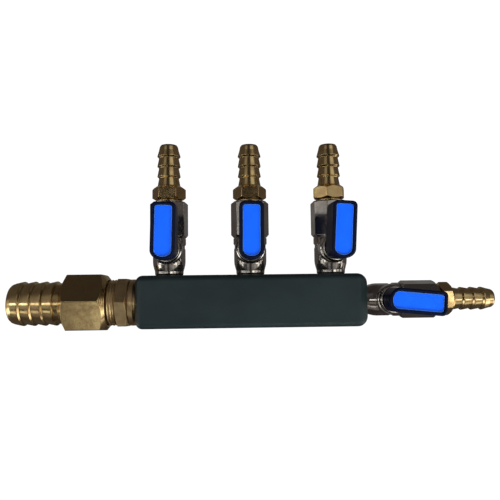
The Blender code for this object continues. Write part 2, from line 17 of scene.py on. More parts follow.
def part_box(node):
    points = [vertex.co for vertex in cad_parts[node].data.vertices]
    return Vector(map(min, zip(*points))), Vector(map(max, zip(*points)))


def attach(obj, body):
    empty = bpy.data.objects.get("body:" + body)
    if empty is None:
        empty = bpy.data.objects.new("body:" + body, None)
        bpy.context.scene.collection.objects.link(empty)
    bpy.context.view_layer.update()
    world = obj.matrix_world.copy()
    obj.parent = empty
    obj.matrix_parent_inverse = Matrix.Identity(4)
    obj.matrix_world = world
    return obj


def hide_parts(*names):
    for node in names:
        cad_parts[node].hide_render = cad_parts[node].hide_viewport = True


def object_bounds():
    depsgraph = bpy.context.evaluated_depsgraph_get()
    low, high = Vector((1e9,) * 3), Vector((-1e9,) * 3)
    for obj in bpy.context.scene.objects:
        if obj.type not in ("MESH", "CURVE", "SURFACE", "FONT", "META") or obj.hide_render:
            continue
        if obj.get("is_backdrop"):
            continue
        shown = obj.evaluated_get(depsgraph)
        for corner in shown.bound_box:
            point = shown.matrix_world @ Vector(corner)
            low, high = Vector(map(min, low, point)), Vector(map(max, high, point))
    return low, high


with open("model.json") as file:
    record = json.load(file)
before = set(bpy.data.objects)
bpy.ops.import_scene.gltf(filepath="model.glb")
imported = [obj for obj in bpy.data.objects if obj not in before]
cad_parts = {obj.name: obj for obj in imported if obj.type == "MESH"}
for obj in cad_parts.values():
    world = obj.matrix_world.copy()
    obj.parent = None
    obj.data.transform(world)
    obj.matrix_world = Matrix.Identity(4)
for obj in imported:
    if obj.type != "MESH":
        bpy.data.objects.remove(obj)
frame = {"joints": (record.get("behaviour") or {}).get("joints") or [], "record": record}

cad_low, cad_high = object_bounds()
MM = 0.001
STEM_AXIS = 12.6  # height of the ball's centre over the bar's face
FLOW_BORE = 3.5  # radii inside a valve: the flow, and the pocket of the ball and its seats
BALL_POCKET = 5.45
BALL_RADIUS = 4.8
SEAT_SPHERE = 5.0  # radius of the hollow between the seats
BARREL_RADIUS = 8.0
VALVE_PITCH = 1.41  # of all the threads on a valve
LUG_REACH = 20.0  # degrees to either side of the stop lug's middle
END_PIVOT = next(Vector(j["pos_m"]) for j in frame["joints"] if j["name"] == "valve_4_turn")
END_SEAT = END_PIVOT / MM - Vector((STEM_AXIS, 0, 0))  # where the end valve screws in


# ============================================ mesh tools ============================================
def new_object(name, bm, matrix=None):
    bmesh.ops.remove_doubles(bm, verts=bm.verts, dist=2e-7)
    bmesh.ops.recalc_face_normals(bm, faces=bm.faces)
    if matrix is not None:
        bmesh.ops.transform(bm, matrix=matrix, verts=bm.verts)
    if bm.calc_volume(signed=True) < 0:  # faces point out of the solid
        bmesh.ops.reverse_faces(bm, faces=bm.faces)
    mesh = bpy.data.meshes.new(name)
    bm.to_mesh(mesh)
    bm.free()
    obj = bpy.data.objects.new(name, mesh)
    bpy.context.scene.collection.objects.link(obj)
    return obj


def add_ring(bm, points):
    return [bm.verts.new((x * MM, y * MM, z * MM)) for x, y, z in points]


def bridge(bm, ring, other):
    """Joins two closed rings of as many vertices with a band of quads."""
    for i in range(len(ring)):
        j = (i + 1) % len(ring)
        bm.faces.new((ring[i], ring[j], other[j], other[i]))


def soften(outline, radius=0.12, steps=3):
    """Rounds every corner of a closed outline. A corner may carry its own radius as a third number."""
    made = []
    for i, entry in enumerate(outline):
        corner = Vector(entry[:2])
        back = Vector(outline[i - 1][:2]) - corner
        ahead = Vector(outline[(i + 1) % len(outline)][:2]) - corner
        own = entry[2] if len(entry) > 2 else radius
        on_axis = abs(corner.x) < 1e-6
        if own <= 0 or on_axis or back.length < 1e-6 or ahead.length < 1e-6:
            # a rounded corner always takes steps + 1 points, so that outlines match at every angle
            made += [(corner.x, corner.y)] * (1 if on_axis or own <= 0 else steps + 1)
            continue
        back_length, ahead_length = back.length, ahead.length
        back, ahead = back / back_length, ahead / ahead_length
        turn = math.pi - back.angle(ahead)
        reach = min(own * math.tan(turn / 2), 0.45 * back_length, 0.45 * ahead_length)
        reach = max(reach, 1e-3)
        start, end = corner + back * reach, corner + ahead * reach
        for k in range(steps + 1):
            t = k / steps
            # quadratic blend through the corner: close to an arc at these small sizes
            weight = 0.5 + 0.5 * math.cos(turn / 2)
            blend = (1 - t) ** 2 * start + 2 * weight * t * (1 - t) * corner + t * t * end
            made.append(tuple(blend / ((1 - t) ** 2 + 2 * weight * t * (1 - t) + t * t)))
    return made


def circle_angles(segments):
    return [2 * math.pi * i / segments for i in range(segments)]


def turned(name, outline_at, angles, about_stem=False):
    """Skins one closed (radius, height) outline per angle into a solid.

    outline_at is an outline or a function of the angle. The heights run along Z, or with about_stem
    along -Y, out to the lever.
    """
    bm = bmesh.new()
    columns = []
    for angle in angles:
        cosine, sine = math.cos(angle), math.sin(angle)
        outline = outline_at(angle) if callable(outline_at) else outline_at
        columns.append(add_ring(bm, [(r * cosine, r * sine, height) for r, height in outline]))
    for i, column in enumerate(columns):
        bridge(bm, column, columns[(i + 1) % len(columns)])
    bmesh.ops.remove_doubles(bm, verts=bm.verts, dist=2e-7)
    bmesh.ops.dissolve_degenerate(bm, dist=1e-8, edges=bm.edges)
    return new_object(name, bm, Matrix.Rotation(math.pi / 2, 4, "X") if about_stem else None)


def stacked(name, sections):
    """Skins closed outlines of (x, y, z) points one after another, and closes both ends."""
    bm = bmesh.new()
    rings = [add_ring(bm, section) for section in sections]
    for ring, other in zip(rings, rings[1:]):
        bridge(bm, ring, other)
    bm.faces.new(rings[0])
    bm.faces.new(rings[-1])
    return new_object(name, bm)


def at_depth(outline, depth):
    """A flat (x, z) outline at a depth, counted from the stem's foot towards -Y."""
    return [(x, -depth, z) for x, z in outline]


def extruded(name, outline, low, high):
    """A flat (x, z) outline made solid between two depths."""
    bm = bmesh.new()
    bottom = add_ring(bm, at_depth(outline, low))
    top = add_ring(bm, at_depth(outline, high))
    bm.faces.new(bottom)
    bm.faces.new(top)
    bridge(bm, bottom, top)
    return new_object(name, bm)


def layered(name, rings):
    """A solid through flat outlines, given as (depth, outline)."""
    return stacked(name, [at_depth(outline, depth) for depth, outline in rings])


def rectangle(x_from, z_from, x_to, z_to):
    return [(x_from, z_from), (x_to, z_from), (x_to, z_to), (x_from, z_to)]


def sector(inner, outer, middle, reach, steps):
    """Part of a flat ring about the stem axis, reaching as many degrees to both sides of middle."""
    angles = [middle - reach + 2 * reach * i / steps for i in range(steps + 1)]
    return [
        (r * math.cos(math.radians(angle)), STEM_AXIS + r * math.sin(math.radians(angle)))
        for r, way in ((inner, angles[::-1]), (outer, angles))
        for angle in way
    ]


class Nut:
    """The outside of a polygonal nut with rounded corners and turned ends.

    An end is (radius of its face's edge, length of its chamfer).
    """

    def __init__(self, sides, across_flats, first_deg, low, high, end_low, end_high, corner_round):
        self.sides, self.flat, self.first = sides, across_flats / 2, math.radians(first_deg)
        self.low, self.high, self.end_low, self.end_high = low, high, end_low, end_high
        self.round = corner_round
        self.half = math.pi / sides
        self.tip = self.flat / math.cos(self.half) + 0.2
        # the corner arc's centre, and the angle from the corner to where the arc meets the flat
        self.centre = (self.flat - corner_round) / math.cos(self.half)
        self.tangent = math.atan2(
            corner_round * math.sin(self.half),
            self.centre + corner_round * math.cos(self.half),
        )

    def angles(self, per_side):
        """Close together round each corner, even along each flat."""
        made = []
        for i in range(self.sides):
            corner = self.first + 2 * math.pi * i / self.sides
            for t in (-1.0, -0.5, 0.0, 0.5):
                made.append(corner + t * self.tangent)
            flat_angle = 2 * self.half - 2 * self.tangent
            for k in range(per_side + 1):
                made.append(corner + self.tangent + flat_angle * k / (per_side + 1))
        return sorted(set(round(angle, 9) for angle in made))

    def radius(self, angle):
        off = (angle - self.first) % (2 * self.half)
        if off > self.half:
            off -= 2 * self.half
        if abs(off) < self.tangent:
            rest = self.round**2 - (self.centre * math.sin(off)) ** 2
            return self.centre * math.cos(off) + math.sqrt(max(rest, 0))
        return self.flat / math.cos(self.half - abs(off))

    def run(self, angle):
        """(radius, height, rounding) from the low face's edge to the high face's edge."""
        r = self.radius(angle)
        low_r, low_length = self.end_low
        high_r, high_length = self.end_high
        return [
            (low_r, self.low, 0.06),
            (r, self.low + low_length * (r - low_r) / (self.tip - low_r), 0.14),
            (r, self.high - high_length * (r - high_r) / (self.tip - high_r), 0.14),
            (high_r, self.high, 0.06),
        ]


def thread_run(low, high, crest, root, pitch, angle, fade=0.6, per_turn=8):
    """(radius, height) samples along a helical thread at one angle, running out at both ends."""
    count = max(4, int(round((high - low) / pitch * per_turn)))
    points = []
    for i in range(count + 1):
        z = low + (high - low) * i / count
        phase = ((z / pitch) - angle / (2 * math.pi)) % 1.0
        ridge = 1 - abs(2 * phase - 1)  # 0 in the root, 1 on the crest
        ridge = min(1.0, max(0.0, (ridge - 0.12) / 0.72))
        fading = min(1.0, (z - low) / fade, (high - z) / fade)
        points.append((root + (crest - root) * ridge * max(fading, 0.0), z, 0))
    return points


def barb_run(first_crest, pitch, count, root, crest, back, crest_round, root_round):
    """(radius, height, rounding) along a hose tail's barbs."""
    points = []
    for i in range(count):
        top = first_crest + i * pitch
        points += [
            (root, top - back, root_round),
            (crest, top - 0.12, crest_round),
            (crest - 0.04, top + 0.3, 0.25),
        ]
    return points


def boolean(target, tool, operation):
    """Applies the tool to the target's mesh, and removes the tool."""
    modifier = target.modifiers.new(operation.title(), "BOOLEAN")
    modifier.operation = operation
    modifier.object = tool
    bpy.context.view_layer.update()
    graph = bpy.context.evaluated_depsgraph_get()
    mesh = bpy.data.meshes.new_from_object(target.evaluated_get(graph))
    target.modifiers.clear()
    old = target.data
    target.data = mesh
    bpy.data.meshes.remove(old)
    data = tool.data
    bpy.data.objects.remove(tool, do_unlink=True)
    bpy.data.meshes.remove(data)


def join(target, tool):
    boolean(target, tool, "UNION")


def cut(target, tool):
    boolean(target, tool, "DIFFERENCE")


def shift(obj, x=0.0, z=0.0):
    obj.data.transform(Matrix.Translation(Vector((x, 0.0, z)) * MM))
    return obj


def smooth(obj, angle=38):
    obj.data.shade_smooth()
    obj.data.set_sharp_from_angle(angle=math.radians(angle))
    modifier = obj.modifiers.new("Normals", "WEIGHTED_NORMAL")
    modifier.mode = "FACE_AREA"
    modifier.keep_sharp = True
    return obj


# ============================================= materials ============================================
class Nodes:
    """A short way to write a node tree. Values may be numbers, colours or other nodes' outputs."""

    def __init__(self, tree):
        self.tree = tree

    def add(self, kind, **settings):
        node = self.tree.nodes.new(kind)
        for key, value in settings.items():
            setattr(node, key, value)
        return node

    def put(self, socket, value):
        if isinstance(value, bpy.types.NodeSocket):
            self.tree.links.new(value, socket)
        elif isinstance(value, tuple):
            socket.default_value = (*value, 1.0)
        else:
            socket.default_value = value

    def math(self, operation, first, second=None):
        node = self.add("ShaderNodeMath", operation=operation)
        self.put(node.inputs[0], first)
        if second is not None:
            self.put(node.inputs[1], second)
        return node.outputs[0]

    def ramp(self, value, span, to=(0.0, 1.0)):
        """Eases from to[0] to to[1] while the value crosses the span."""
        node = self.add("ShaderNodeMapRange", interpolation_type="SMOOTHSTEP")
        self.put(node.inputs["Value"], value)
        node.inputs["From Min"].default_value, node.inputs["From Max"].default_value = span
        node.inputs["To Min"].default_value, node.inputs["To Max"].default_value = to
        return node.outputs["Result"]

    def mix(self, factor, first, second, blend="MIX"):
        node = self.add("ShaderNodeMix", data_type="RGBA", blend_type=blend)
        node.clamp_factor = True
        self.put(node.inputs[0], factor)
        self.put(node.inputs[6], first)
        self.put(node.inputs[7], second)
        return node.outputs[2]


class Look(Nodes):
    """A material's node tree, with the patterns that the finishes share."""

    def __init__(self, name):
        self.material = bpy.data.materials.new(name)
        self.material.use_nodes = True
        super().__init__(self.material.node_tree)
        self.coords = self.add("ShaderNodeTexCoord").outputs["Object"]

    def noise(self, scale, detail=3.0, roughness=0.55, stretch=(1, 1, 1)):
        mapping = self.add("ShaderNodeMapping")
        self.put(mapping.inputs["Vector"], self.coords)
        mapping.inputs["Scale"].default_value = stretch
        node = self.add("ShaderNodeTexNoise")
        self.put(node.inputs["Vector"], mapping.outputs["Vector"])
        self.put(node.inputs["Scale"], scale)
        self.put(node.inputs["Detail"], detail)
        self.put(node.inputs["Roughness"], roughness)
        return node.outputs["Fac"]

    def axial_lines(self, scale):
        """Fine turning marks: noise that changes only along the piece's own axis."""
        return self.noise(scale, detail=2.0, roughness=0.6, stretch=(0.004, 0.004, 1.0))

    def bump(self, height, strength, distance, normal=None):
        node = self.add("ShaderNodeBump")
        self.put(node.inputs["Strength"], strength)
        self.put(node.inputs["Distance"], distance)
        self.put(node.inputs["Height"], height)
        if normal is not None:
            self.put(node.inputs["Normal"], normal)
        return node.outputs["Normal"]

    def hollow(self, distance):
        """1 in the open, falling to 0 in tight corners: it darkens colours there as painted shade, and
        in brass it also roughens them as tarnish.
        """
        node = self.add("ShaderNodeAmbientOcclusion", samples=6, only_local=True)
        self.put(node.inputs["Distance"], distance)
        return node.outputs["AO"]

    def edge(self, radius=0.0003):
        """1 on edges, where a rounded-off normal leaves the surface's own."""
        rounded = self.add("ShaderNodeBevel", samples=4)
        self.put(rounded.inputs["Radius"], radius)
        geometry = self.add("ShaderNodeNewGeometry")
        dot = self.add("ShaderNodeVectorMath", operation="DOT_PRODUCT")
        self.put(dot.inputs[0], rounded.outputs["Normal"])
        self.put(dot.inputs[1], geometry.outputs["Normal"])
        return self.ramp(dot.outputs["Value"], span=(0.86, 0.98), to=(1.0, 0.0))

    def rounding(self):
        """1 where the surface turns away from its object's Y axis."""
        coords = self.add("ShaderNodeTexCoord")
        split = self.add("ShaderNodeSeparateXYZ")
        self.put(split.inputs[0], coords.outputs["Normal"])
        facing = self.math("ABSOLUTE", split.outputs["Y"], 0.0)
        return self.ramp(facing, span=(0.86, 0.996), to=(1.0, 0.0))

    def finish(self, colour, metallic, roughness, normal, specular=0.5):
        inputs = self.tree.nodes["Principled BSDF"].inputs
        self.put(inputs["Base Color"], colour)
        self.put(inputs["Metallic"], metallic)
        self.put(inputs["Roughness"], roughness)
        self.put(inputs["Specular IOR Level"], specular)
        self.put(inputs["Normal"], normal)
        return self.material


def make_brass(name, tone, dark, warm, rough=(0.10, 0.20), lines=0.30):
    wear_and_highlight_colour = (0.90, 0.76, 0.50)
    look = Look(name)
    blotch = look.noise(scale=240, detail=4, roughness=0.6)
    fine = look.noise(scale=1900)
    turning = look.axial_lines(scale=5200)
    colour = look.mix(look.ramp(blotch, span=(0.36, 0.66)), tone, warm)
    patches = look.ramp(look.noise(scale=90, detail=2), span=(0.55, 0.8), to=(0, 0.35))
    colour = look.mix(patches, colour, dark)
    open_air = look.hollow(distance=0.0016)
    # painted shade: the colour darkens towards tight corners, such as the barbs' roots
    colour = look.mix(look.ramp(open_air, span=(0.35, 0.95), to=(0.72, 0.0)), colour, dark)
    colour = look.mix(look.math("MULTIPLY", look.edge(), 0.35), colour, wear_and_highlight_colour)
    roughness = look.math(
        "ADD",
        look.ramp(blotch, span=(0.3, 0.7), to=rough),
        look.ramp(fine, span=(0.35, 0.7), to=(0.0, 0.07)),
    )
    tarnish = look.ramp(open_air, span=(0.3, 0.95), to=(0.14, 0.0))
    roughness = look.math("ADD", roughness, tarnish)
    normal = look.bump(turning, strength=lines, distance=0.00003)
    dents = look.noise(scale=900, detail=4)
    normal = look.bump(dents, strength=0.22, distance=0.00004, normal=normal)
    return look.finish(colour, metallic=1.0, roughness=roughness, normal=normal)


def make_nickel(name):
    tone, warm = (0.60, 0.59, 0.555), (0.51, 0.46, 0.40)
    dark, wear_and_highlight_colour = (0.16, 0.13, 0.11), (0.85, 0.83, 0.80)
    look = Look(name)
    blotch = look.noise(scale=170, detail=4, roughness=0.6)
    colour = look.mix(look.ramp(blotch, span=(0.38, 0.68)), tone, warm)
    open_air = look.hollow(distance=0.0014)
    # painted shade: the colour darkens towards tight corners
    colour = look.mix(look.ramp(open_air, span=(0.3, 0.9), to=(0.6, 0.0)), colour, dark)
    colour = look.mix(look.math("MULTIPLY", look.edge(), 0.4), colour, wear_and_highlight_colour)
    roughness = look.math(
        "ADD",
        look.ramp(blotch, span=(0.3, 0.7), to=(0.07, 0.15)),
        look.ramp(look.noise(scale=1500), span=(0.4, 0.7), to=(0.0, 0.06)),
    )
    normal = look.bump(look.noise(scale=420, detail=2), strength=0.10, distance=0.00005)
    lines = look.axial_lines(scale=3600)
    normal = look.bump(lines, strength=0.06, distance=0.00002, normal=normal)
    return look.finish(colour, metallic=1.0, roughness=roughness, normal=normal)


def make_bar_finish(name):
    tone, other = (0.0095, 0.0165, 0.0180), (0.0130, 0.0220, 0.0232)
    dust, wear_and_highlight_colour = (0.22, 0.24, 0.24), (0.05, 0.075, 0.085)
    look = Look(name)
    cloud = look.noise(scale=38, detail=4, roughness=0.6, stretch=(0.6, 1, 1))
    grain = look.noise(scale=4200, detail=2)
    drawn = look.noise(scale=2600, stretch=(0.012, 1, 1))  # drawing lines along the bar
    colour = look.mix(look.ramp(cloud, span=(0.35, 0.68)), tone, other)
    cells = look.add("ShaderNodeTexVoronoi", feature="F1")
    look.put(cells.inputs["Vector"], look.coords)
    look.put(cells.inputs["Scale"], 210)
    speck = look.ramp(cells.outputs["Distance"], span=(0.045, 0.075), to=(1.0, 0.0))
    rare = look.ramp(look.noise(scale=70, detail=1), span=(0.60, 0.66))
    dusty = look.math("MULTIPLY", look.math("MULTIPLY", speck, rare), 0.75)
    colour = look.mix(dusty, colour, dust)
    colour = look.mix(look.math("MULTIPLY", look.edge(radius=0.0006), 0.25), colour, wear_and_highlight_colour)
    roughness = look.ramp(cloud, span=(0.3, 0.7), to=(0.36, 0.48))
    normal = look.bump(drawn, strength=0.12, distance=0.00002)
    normal = look.bump(grain, strength=0.16, distance=0.00003, normal=normal)
    return look.finish(colour, 0.15, roughness, normal, specular=0.32)


def make_plastic(
    name, tone, other, rough, grain=0.25, wear_and_highlight_colour=(0.06, 0.065, 0.075), wear_and_highlight_amount=0.25, sheen=0.5, front=False
):
    """front lightens the piece where it rounds away from its front, a painted highlight, instead of the
    wear on its edges.
    """
    look = Look(name)
    cloud = look.noise(scale=120)
    colour = look.mix(look.ramp(cloud, span=(0.35, 0.65)), tone, other)
    # on edges this lightening is wear; with front it is a painted highlight on the rounding
    wear_and_highlight_mask = look.rounding() if front else look.edge()
    colour = look.mix(look.math("MULTIPLY", wear_and_highlight_mask, wear_and_highlight_amount), colour, wear_and_highlight_colour)
    roughness = look.math(
        "ADD",
        look.ramp(cloud, span=(0.3, 0.7), to=(rough - 0.05, rough + 0.05)),
        look.ramp(look.noise(scale=900), span=(0.45, 0.7), to=(0, 0.05)),
    )
    normal = look.bump(look.noise(scale=3800, detail=2), strength=grain, distance=0.00003)
    waves = look.noise(scale=150, detail=2)
    normal = look.bump(waves, strength=0.10, distance=0.0001, normal=normal)
    return look.finish(colour, 0.0, roughness, normal, specular=sheen)


def make_metal(name, tone, other, rough):
    look = Look(name)
    cloud = look.noise(scale=700)
    return look.finish(
        colour=look.mix(look.ramp(cloud, span=(0.35, 0.65)), tone, other),
        metallic=1.0,
        roughness=look.ramp(cloud, span=(0.3, 0.7), to=(rough * 0.7, rough * 1.3)),
        normal=look.bump(look.noise(scale=2600, detail=2), strength=0.12, distance=0.00002),
    )


# by the frame's material slots, with a second brass
LOOKS = {
    "black_bar": make_bar_finish("anodised_bar"),
    "brass": make_brass(
        "turned_brass", tone=(0.70, 0.54, 0.25), dark=(0.13, 0.075, 0.030), warm=(0.60, 0.42, 0.20)
    ),
    "cast_brass": make_brass(
        "machined_brass", tone=(0.72, 0.56, 0.28), dark=(0.16, 0.10, 0.045),
        warm=(0.64, 0.45, 0.25), rough=(0.30, 0.42), lines=0.2,
    ),
    "nickel_plate": make_nickel("nickel_plating"),
    "chrome_ball": make_metal(
        "chromed_ball", tone=(0.78, 0.78, 0.80), other=(0.70, 0.70, 0.72), rough=0.06
    ),
    "ptfe": make_plastic(
        "ptfe_white", tone=(0.84, 0.84, 0.81), other=(0.78, 0.78, 0.75), rough=0.5,
        wear_and_highlight_colour=(0.9, 0.9, 0.88),
    ),
    "seal_rubber": make_plastic(
        "seal_rubber", tone=(0.012, 0.012, 0.012), other=(0.02, 0.02, 0.02), rough=0.7
    ),
    "lever_plastic": make_plastic(
        "lever_black", tone=(0.0011, 0.0031, 0.0140), other=(0.0018, 0.0042, 0.0170), rough=0.38,
        wear_and_highlight_colour=(0.004, 0.009, 0.034), wear_and_highlight_amount=0.6, sheen=0.11,
    ),
    # the insert's light rim, where its face rounds off, is a painted highlight
    "insert_plastic": make_plastic(
        "insert_blue", tone=(0.0015, 0.105, 0.90), other=(0.003, 0.116, 0.94), rough=0.36,
        grain=0.12, wear_and_highlight_colour=(0.13, 0.33, 0.86), wear_and_highlight_amount=1.0, sheen=0.16, front=True,
    ),
    "screw_steel": make_metal(
        "zinc_screw", tone=(0.55, 0.55, 0.56), other=(0.42, 0.42, 0.43), rough=0.3
    ),
}


# ============================================= the bar ==============================================
INLET_ROUND, OUTLET_ROUND = 3.8, 5.4  # rounding of the bar's low and high ends
PORT_RADIUS, PORT_DEPTH = 7.15, 7.0  # a valve's hole, and the narrower passage below it
PORT_PASSAGE = 4.4


def bar_section(half_y, half_z, inset):
    """The bar's section with rounded corners, shrunk by inset, in (y, z) about its middle."""
    half_y, half_z = half_y - inset, half_z - inset
    corner = max(2.9 - 0.45 * inset, 0.9)
    points = []
    for k, (side_y, side_z) in enumerate(((1, 1), (-1, 1), (-1, -1), (1, -1))):
        for i in range(9):
            angle = math.pi / 2 * (k + i / 8)
            y = side_y * (half_y - corner) + corner * math.cos(angle)
            z = side_z * (half_z - corner) + corner * math.sin(angle)
            points.append((y, z))
    return points


def make_bar():
    low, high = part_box("manifold_block")
    low, high = low / MM, high / MM
    middle = (low + high) / 2
    angles = [math.pi / 2 * i / 10 for i in range(11)]
    sections = []
    for end, inward, radius, turn in (
        (low.x, 1, INLET_ROUND, angles),
        (high.x, -1, OUTLET_ROUND, angles[::-1]),
    ):
        for angle in turn:
            x = end + inward * radius * (1 - math.cos(angle))
            inset = radius * (1 - math.sin(angle))
            section = bar_section((high.y - low.y) / 2, (high.z - low.z) / 2, inset)
            sections.append([(x, middle.y + y, middle.z + z) for y, z in section])
    bar = stacked("manifold_block_fine", sections)

    # lengthwise bore: (radius, x), wide at the inlet, with the end valve's port at the other end
    seat = END_SEAT.x
    bore_outline = [
        (0, low.x - 1), (11.0, low.x - 1), (11.0, low.x + 7.2), (5.0, low.x + 9.2),
        (5.0, seat - 8.4), (PORT_PASSAGE, seat - PORT_DEPTH), (PORT_RADIUS, seat - PORT_DEPTH),
        (PORT_RADIUS, high.x + 1), (0, high.x + 1),
    ]
    bore = turned("bore", bore_outline, circle_angles(96))
    bore.data.transform(Matrix.Rotation(math.pi / 2, 4, "Y"))
    cut(bar, shift(bore, z=END_SEAT.z))

    # ports in the top face: (radius, z), with a chamfered mouth
    top = high.z
    port_outline = [
        (0, top / 2 + 0.4), (PORT_PASSAGE, top / 2 + 0.4), (PORT_PASSAGE, top - PORT_DEPTH),
        (PORT_RADIUS, top - PORT_DEPTH), (PORT_RADIUS, top - 0.4), (7.55, top + 0.001),
        (8.5, top + 1), (0, top + 1),
    ]
    for valve in (1, 2, 3):
        seat_low, seat_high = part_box(f"valve_{valve}_seat_inner")
        port = turned("port", port_outline, circle_angles(72))
        cut(bar, shift(port, x=(seat_low.x + seat_high.x) / 2 / MM))
    return smooth(bar, 30)


# =========================================== fixed pieces ===========================================
# Outlines are closed runs of (radius, height) or (radius, height, rounding of that corner).
TAPER = ((1.9, 7.02), (3.6, 7.48), (5.0, 7.84), (6.6, 8.0))  # barrel near the bar: (height, radius)
BOSS_FOOT = 7.2  # radius of the stem boss where its flare starts


def barrel_radius(z):
    for (z0, r0), (z1, r1) in zip(TAPER, TAPER[1:]):
        if z < z1:
            return r0 + (r1 - r0) * max(z - z0, 0) / (z1 - z0)
    return BARREL_RADIUS


def barrel_outline(angle):
    run = [(0, -6.4), (6.1, -6.4, 0.1)]
    run += thread_run(-6.2, -0.2, 6.85, 6.25, VALVE_PITCH, angle, per_turn=7)
    run += [
        (6.6, 0.1, 0.1), (6.9, 0.4, 0.1), (6.98, 0.9, 0.1), (7.02, 1.9, 0.4),
        (7.5, 3.6, 1.0), (7.85, 5.0, 0.8), (BARREL_RADIUS, 6.6, 0.8), (BARREL_RADIUS, 8.0, 0),
        (BARREL_RADIUS, 10.4, 0), (BARREL_RADIUS, 12.55, 0.16), (7.7, 13.15, 0.16),
        (7.7, 14.45, 0.2), (8.25, 15.15, 0.25), (8.25, 17.75, 0.3), (8.0, 18.1, 0.12), (0, 18.1),
    ]
    return soften(run)


def boss_outline(angle):
    """(radius, depth) about the stem axis, flaring out to meet the barrel at this angle."""
    across = abs(math.cos(angle))
    flare = 0.25 + 1.85 * (1 - across**2) * (1 if math.sin(angle) < 0 else 0.6)
    end = BOSS_FOOT + flare
    surface = barrel_radius(STEM_AXIS + end * math.sin(angle)) - 0.03
    end_depth = math.sqrt(max(surface**2 - (end * across) ** 2, 0.2))
    foot_depth = math.sqrt(max(7.97**2 - (BOSS_FOOT * across) ** 2, 0.2))
    start_depth = min(8.1, foot_depth + min(0.95, max(0.15, 8.1 - foot_depth - 0.1)))
    points = [
        (0, 12.6), (6.05, 12.6), (6.28, 12.5), (6.4, 12.28), (6.4, 9.25), (6.45, 8.95),
        (6.62, 8.72), (6.9, 8.58), (7.08, 8.42), (BOSS_FOOT, 8.2),
    ]
    for i in range(7):
        t = i / 6 * math.pi / 2
        depth = start_depth - (start_depth - end_depth) * math.sin(t)
        points.append((BOSS_FOOT + flare * (1 - math.cos(t)), depth))
    points += [(end - 0.05, end_depth - 0.6), (BOSS_FOOT - 1.2, max(0.8, end_depth - 2.0)), (0, 0.8)]
    return points


def make_body():
    """Turned barrel with its male thread, a flared stem boss, and the stop lug."""
    body = turned("valve_body", barrel_outline, circle_angles(96))
    boss = turned("boss", boss_outline, circle_angles(120), about_stem=True)
    shift(boss, z=STEM_AXIS)
    cut(boss, extruded("over", rectangle(-12, 17.9, 12, 26), -2, 15))  # clear of the end cap
    join(body, boss)
    join(body, extruded("lug", sector(3.9, 5.7, 225, LUG_REACH, 8), 11.8, 14.2))
    cavity_outline = [
        (0, -8), (FLOW_BORE + 1.2, -8), (FLOW_BORE + 0.6, -6.9), (FLOW_BORE, -6.2),
        (FLOW_BORE, 7.0), (BALL_POCKET, 7.0), (BALL_POCKET, 16.4), (7.0, 16.4), (7.0, 17.8),
        (7.3, 18.15), (7.6, 19), (0, 19),
    ]
    cut(body, turned("cavity", soften(cavity_outline, 0.08), circle_angles(72)))
    stem_outline = [
        (0, 3), (3.25, 3), (3.25, 6.75), (2.45, 6.75), (2.45, 12.3), (2.8, 12.66), (3.2, 14), (0, 14),
    ]
    stem_bore = turned("stem_bore", stem_outline, circle_angles(48), about_stem=True)
    cut(body, shift(stem_bore, z=STEM_AXIS))
    return smooth(body, 40)


def make_end_cap():
    nut = Nut(
        sides=8, across_flats=17.4, first_deg=0, low=18.3, high=36.2,
        end_low=(8.2, 1.6), end_high=(7.7, 1.2), corner_round=0.5,
    )

    def outline(angle):
        run = nut.run(angle)
        run += [(8.15, 36.2, 0.06), (7.15, 35.25, 0.1)]
        run += thread_run(26.9, 34.8, 7.15, 7.55, VALVE_PITCH, angle, per_turn=6)
        run += [
            (7.15, 26.4, 0.05), (5.9, 26.2, 0.05), (5.9, 25.6, 0.05), (FLOW_BORE, 25.0, 0.1),
            (FLOW_BORE, 18.2, 0.1), (BALL_POCKET, 18.2, 0.05), (BALL_POCKET, 16.6, 0.05),
            (6.35, 16.6, 0.1), (6.75, 17.0, 0.05), (6.75, 18.3, 0.02),
        ]
        return soften(run, 0.1)

    return smooth(turned("valve_end_cap", outline, nut.angles(10)))


def make_tail():
    nut = Nut(
        sides=6, across_flats=14.5, first_deg=0, low=37.2, high=43.8,
        end_low=(6.85, 1.0), end_high=(6.15, 1.75), corner_round=0.4,
    )

    def outline(angle):
        run = [(3.6, 27.4, 0.1), (6.0, 27.4, 0.1)]
        run += thread_run(27.7, 36.4, 6.85, 6.3, VALVE_PITCH, angle, per_turn=6)
        run += [(6.3, 36.7, 0.05), (6.6, 37.2, 0.04)]
        run += nut.run(angle)
        run += [(5.75, 43.82, 0.05), (5.62, 44.15, 0.3)]
        run += barb_run(
            first_crest=48.85, pitch=5.05, count=3, root=4.90, crest=5.72, back=0.85,
            crest_round=0.12, root_round=0.25,
        )
        run += [
            (4.93, 61.8, 0.8), (4.5, 63.8, 0.6), (3.95, 64.6, 0.3), (3.7, 64.6, 0.1),
            (3.3, 64.1, 0.2), (3.3, 28.0, 0.1),
        ]
        return soften(run, 0.1, 4)

    return smooth(turned("valve_hose_tail", outline, nut.angles(12)), 36)


